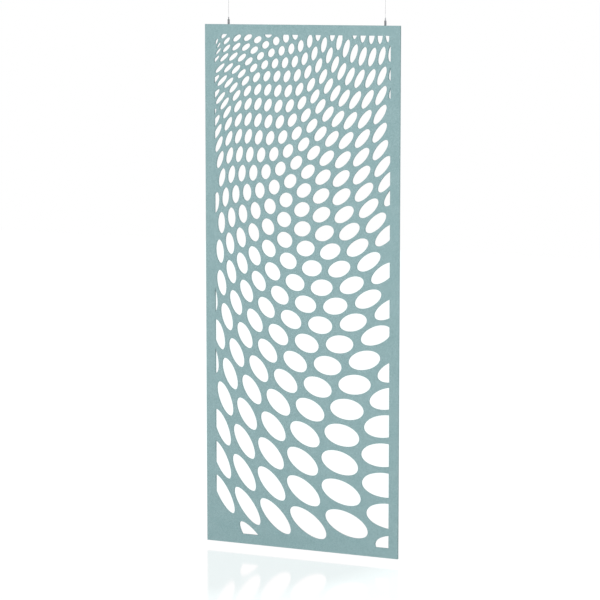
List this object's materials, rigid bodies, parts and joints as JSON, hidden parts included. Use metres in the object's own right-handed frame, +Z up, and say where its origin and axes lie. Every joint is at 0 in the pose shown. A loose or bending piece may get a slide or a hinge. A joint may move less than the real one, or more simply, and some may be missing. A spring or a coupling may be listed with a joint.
{
  "type": "hanging room divider panel",
  "caption": "Tall perforated felt room divider with a graded field of oval holes, hung from the ceiling on two steel cables with ball grippers.",
  "frame": {"origin": "on the ceiling plane, halfway between the two ceiling fittings", "axes": "+Z up to the ceiling and against gravity, +X to the right along the panel seen from the front, +Y to the back, so the front face looks along -Y"},
  "size_m": [0.96, 0.016, 2.55],
  "materials": {
    "felt_board": "matte pressed felt, grey-teal",
    "satin_steel": "satin nickel plate",
    "bright_steel": "bright steel",
    "brass": "plain turned brass"
  },
  "bodies": {
    "ceiling": {"ceiling_stub_left": "satin_steel", "ceiling_stub_right": "satin_steel", "ceiling_cap_left": "satin_steel", "ceiling_cap_right": "satin_steel"},
    "cables": {"cable_end_left": "bright_steel", "cable_end_right": "bright_steel", "cable_left": "bright_steel", "cable_right": "bright_steel"},
    "board": {"panel": "felt_board", "insert_left": "brass", "insert_right": "brass", "gripper_base_left": "satin_steel", "gripper_base_right": "satin_steel", "gripper_sleeve_left": "satin_steel", "gripper_sleeve_right": "satin_steel", "gripper_spring_left": "bright_steel", "gripper_spring_right": "bright_steel"},
    "plunger_left": {"release_plunger_left": "bright_steel", "gripper_ball_left_1": "bright_steel", "gripper_ball_left_2": "bright_steel", "gripper_ball_left_3": "bright_steel"},
    "plunger_right": {"release_plunger_right": "bright_steel", "gripper_ball_right_1": "bright_steel", "gripper_ball_right_2": "bright_steel", "gripper_ball_right_3": "bright_steel"}
  },
  "joints": [
    {"name": "swing", "type": "hinge", "parent": "ceiling", "child": "cables", "pos_m": [0, 0, -0.013], "axis": [1, 0, 0], "range_deg": [-10, 10]},
    {"name": "height_adjust", "type": "slide", "parent": "cables", "child": "board", "axis": [0, 0, 1], "range_m": [0, 0.012]},
    {"name": "press_left", "type": "slide", "parent": "board", "child": "plunger_left", "axis": [0, 0, -1], "range_m": [0, 0.0025], "stiffness_N_per_m": 400, "springref_m": -0.002, "deforming": ["gripper_spring_left"]},
    {"name": "press_right", "type": "slide", "parent": "board", "child": "plunger_right", "axis": [0, 0, -1], "range_m": [0, 0.0025], "stiffness_N_per_m": 400, "springref_m": -0.002, "deforming": ["gripper_spring_right"]}
  ]
}
